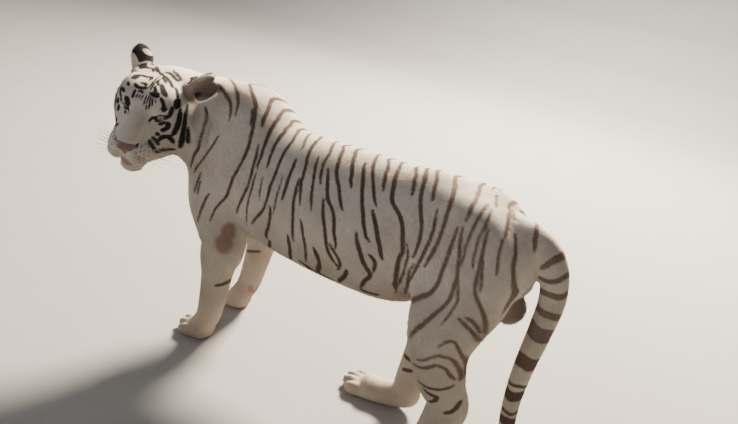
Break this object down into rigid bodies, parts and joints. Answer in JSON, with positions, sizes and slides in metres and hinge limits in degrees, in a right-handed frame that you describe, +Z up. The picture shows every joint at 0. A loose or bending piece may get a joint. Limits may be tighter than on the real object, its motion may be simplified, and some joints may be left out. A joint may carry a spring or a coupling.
{
  "type": "standing white tiger model",
  "caption": "Still life-size white tiger standing on all fours, striped coat, head turned back over its left shoulder, long ringed tail.",
  "frame": {"origin": "middle of the bounding box's footprint, on the floor the tiger stands on", "axes": "-X is the way the body walks, -Y is the tiger's left side, to which the head is turned, +Z is up"},
  "size_m": [1.6968, 0.609, 1.038],
  "materials": {
    "head_surface": "short dense fur, white with black marks",
    "neck_surface": "short dense fur, white with dark stripes",
    "trunk_surface": "short dense fur, white with dark stripes",
    "tail_surface": "short dense fur, white with dark rings",
    "foreleg_left_surface": "short dense fur, white",
    "foreleg_right_surface": "short dense fur, white",
    "hind_leg_left_surface": "short dense fur, white with dark bars",
    "hind_leg_right_surface": "short dense fur, white with dark bars",
    "ear_left_surface": "short fur, pinkish grey inside",
    "ear_right_surface": "short fur, black back with a white spot",
    "eye_left_surface": "wet gloss",
    "eye_right_surface": "wet gloss"
  },
  "bodies": {
    "root": {"head": "head_surface", "neck": "neck_surface", "trunk": "trunk_surface", "tail": "tail_surface", "foreleg_left": "foreleg_left_surface", "foreleg_right": "foreleg_right_surface", "hind_leg_left": "hind_leg_left_surface", "hind_leg_right": "hind_leg_right_surface", "ear_left": "ear_left_surface", "ear_right": "ear_right_surface", "eye_left": "eye_left_surface", "eye_right": "eye_right_surface"}
  },
  "joints": []
}
